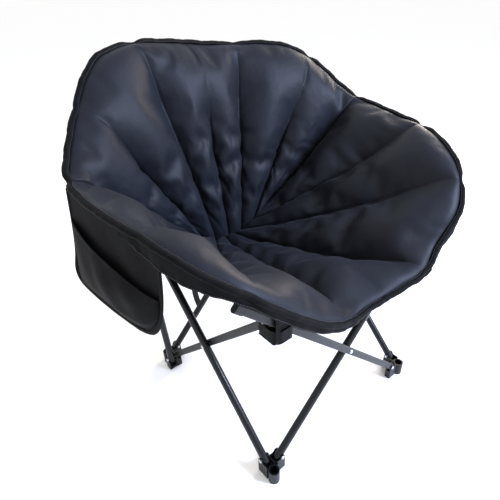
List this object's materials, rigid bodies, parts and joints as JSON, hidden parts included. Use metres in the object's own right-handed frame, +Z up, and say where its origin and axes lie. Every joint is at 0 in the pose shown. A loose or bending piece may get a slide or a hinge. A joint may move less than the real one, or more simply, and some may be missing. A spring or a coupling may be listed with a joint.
{
  "type": "folding saucer chair",
  "caption": "Padded bowl-shaped chair on a square folding base of crossed tubes and flat bars, with leaning back posts and a side pocket.",
  "frame": {"origin": "on the floor, under the centre of the chair's outline", "axes": "+Z up, -Y the way the sitter faces, +X the sitter's left"},
  "size_m": [0.8664, 0.6867, 0.8848],
  "materials": {
    "plastic": "matt moulded",
    "rivet_steel": "bright",
    "tube_paint": "gloss powder coat",
    "bar_paint": "matt powder coat",
    "pad_cloth": "satin polyester",
    "cover_cloth": "matt polyester",
    "edge_cloth": "ribbed tape",
    "webbing": "ribbed webbing"
  },
  "bodies": {
    "front_right_foot": {"foot_front_right": "plastic", "rivets_foot_front_right": "rivet_steel", "seat_pad": "pad_cloth", "back_pad": "pad_cloth", "rim_binding": "edge_cloth", "band_right": "cover_cloth", "band_left": "cover_cloth", "pocket_panel": "cover_cloth", "pocket_pouch": "cover_cloth", "pocket_piping": "edge_cloth", "post_sleeve_right": "cover_cloth", "post_sleeve_left": "cover_cloth", "webbing_right": "webbing", "webbing_left": "webbing", "strap_tail": "webbing"},
    "front_tube": {"tube_front": "tube_paint", "cap_tube_front": "plastic", "rivet_cross_front": "rivet_steel", "washer_front": "plastic"},
    "front_bar": {"bar_front": "bar_paint", "cap_bar_front": "plastic"},
    "front_left_foot": {"foot_front_left": "plastic", "rivets_foot_front_left": "rivet_steel"},
    "left_tube": {"tube_side_left": "tube_paint", "rivet_cross_left": "rivet_steel", "washer_left": "plastic"},
    "left_bar": {"bar_side_left": "bar_paint"},
    "rear_left_foot": {"foot_rear_left": "plastic", "rivets_foot_rear_left": "rivet_steel"},
    "left_post": {"post_left": "tube_paint", "cap_post_left": "plastic"},
    "right_tube": {"tube_side_right": "tube_paint", "rivet_cross_right": "rivet_steel", "washer_right": "plastic"},
    "right_bar": {"bar_side_right": "bar_paint"},
    "rear_right_foot": {"foot_rear_right": "plastic", "rivets_foot_rear_right": "rivet_steel"},
    "right_post": {"post_right": "tube_paint", "cap_post_right": "plastic"},
    "rear_tube": {"tube_rear": "tube_paint", "rivet_cross_rear": "rivet_steel", "washer_rear": "plastic"},
    "rear_bar": {"bar_rear": "bar_paint"},
    "right_slider": {"slider_right": "plastic", "rivets_slider_right": "rivet_steel"},
    "left_slider": {"slider_left": "plastic", "rivets_slider_left": "rivet_steel"},
    "right_corner_joint": {"joint_front_right": "plastic", "rivets_joint_front_right": "rivet_steel"},
    "left_corner_joint": {"joint_front_left": "plastic", "rivets_joint_front_left": "rivet_steel"}
  },
  "joints": [
    {"name": "fold", "type": "hinge", "parent": "front_right_foot", "child": "front_tube", "pos_m": [-0.20228, -0.2385, 0.042], "axis": [0, -1, 0], "range_deg": [0, 36.5], "deforming": ["seat_pad", "back_pad", "rim_binding", "band_right", "band_left", "pocket_panel", "pocket_pouch", "pocket_piping", "post_sleeve_right", "post_sleeve_left", "webbing_right", "webbing_left", "strap_tail"]},
    {"name": "front_crossing", "type": "hinge", "parent": "front_tube", "child": "front_bar", "pos_m": [0.00873, -0.246, 0.253], "axis": [0, -1, 0], "range_deg": [-73, 0]},
    {"name": "front_left_foot_pin", "type": "hinge", "parent": "front_bar", "child": "front_left_foot", "pos_m": [0.21973, -0.2535, 0.042], "axis": [0, -1, 0], "range_deg": [0, 36.5]},
    {"name": "right_tube_pin", "type": "hinge", "parent": "front_right_foot", "child": "right_tube", "pos_m": [-0.23628, -0.2235, 0.042], "axis": [1, 0, 0], "range_deg": [0, 36.5]},
    {"name": "right_crossing", "type": "hinge", "parent": "right_tube", "child": "right_bar", "pos_m": [-0.22878, -0.0125, 0.253], "axis": [1, 0, 0], "range_deg": [-73, 0]},
    {"name": "rear_right_foot_pin", "type": "hinge", "parent": "right_bar", "child": "rear_right_foot", "pos_m": [-0.22127, 0.1985, 0.042], "axis": [1, 0, 0], "range_deg": [0, 36.5]},
    {"name": "left_tube_pin", "type": "hinge", "parent": "front_left_foot", "child": "left_tube", "pos_m": [0.25372, -0.2235, 0.042], "axis": [1, 0, 0], "range_deg": [0, 36.5]},
    {"name": "left_crossing", "type": "hinge", "parent": "left_tube", "child": "left_bar", "pos_m": [0.24622, -0.0125, 0.253], "axis": [1, 0, 0], "range_deg": [-73, 0]},
    {"name": "rear_left_foot_pin", "type": "hinge", "parent": "left_bar", "child": "rear_left_foot", "pos_m": [0.23872, 0.1985, 0.042], "axis": [1, 0, 0], "range_deg": [0, 36.5]},
    {"name": "rear_tube_pin", "type": "hinge", "parent": "rear_right_foot", "child": "rear_tube", "pos_m": [-0.20228, 0.2325, 0.042], "axis": [0, -1, 0], "range_deg": [0, 36.5]},
    {"name": "rear_crossing", "type": "hinge", "parent": "rear_tube", "child": "rear_bar", "pos_m": [0.00873, 0.225, 0.253], "axis": [0, -1, 0], "range_deg": [-73, 0]},
    {"name": "right_post_pin", "type": "hinge", "parent": "rear_right_foot", "child": "right_post", "pos_m": [-0.24127, 0.2025, 0.034], "axis": [1, 0, 0], "range_deg": [0, 2.17]},
    {"name": "left_post_pin", "type": "hinge", "parent": "rear_left_foot", "child": "left_post", "pos_m": [0.25872, 0.2025, 0.034], "axis": [1, 0, 0], "range_deg": [0, 2.17]},
    {"name": "right_slider_pin", "type": "hinge", "parent": "right_tube", "child": "right_slider", "pos_m": [-0.23628, 0.1985, 0.464], "axis": [1, 0, 0], "range_deg": [-36.5, 0]},
    {"name": "left_slider_pin", "type": "hinge", "parent": "left_tube", "child": "left_slider", "pos_m": [0.25372, 0.1985, 0.464], "axis": [1, 0, 0], "range_deg": [-36.5, 0]},
    {"name": "right_corner_pin", "type": "hinge", "parent": "front_bar", "child": "right_corner_joint", "pos_m": [-0.20228, -0.2535, 0.464], "axis": [0, -1, 0], "range_deg": [0, 36.5]},
    {"name": "left_corner_pin", "type": "hinge", "parent": "front_tube", "child": "left_corner_joint", "pos_m": [0.21973, -0.2385, 0.464], "axis": [0, -1, 0], "range_deg": [-36.5, 0]}
  ],
  "couplings": [
    {"joint": "front_crossing", "follows": "fold", "ratio": -2},
    {"joint": "front_left_foot_pin", "follows": "fold", "ratio": 1},
    {"joint": "right_tube_pin", "follows": "fold", "ratio": 1},
    {"joint": "right_crossing", "follows": "fold", "ratio": -2},
    {"joint": "rear_right_foot_pin", "follows": "fold", "ratio": 1},
    {"joint": "left_tube_pin", "follows": "fold", "ratio": 1},
    {"joint": "left_crossing", "follows": "fold", "ratio": -2},
    {"joint": "rear_left_foot_pin", "follows": "fold", "ratio": 1},
    {"joint": "rear_tube_pin", "follows": "fold", "ratio": 1},
    {"joint": "rear_crossing", "follows": "fold", "ratio": -2},
    {"joint": "right_post_pin", "follows": "fold", "ratio": 0.059452},
    {"joint": "left_post_pin", "follows": "fold", "ratio": 0.059452},
    {"joint": "right_slider_pin", "follows": "fold", "ratio": -1},
    {"joint": "left_slider_pin", "follows": "fold", "ratio": -1},
    {"joint": "right_corner_pin", "follows": "fold", "ratio": 1},
    {"joint": "left_corner_pin", "follows": "fold", "ratio": -1}
  ]
}
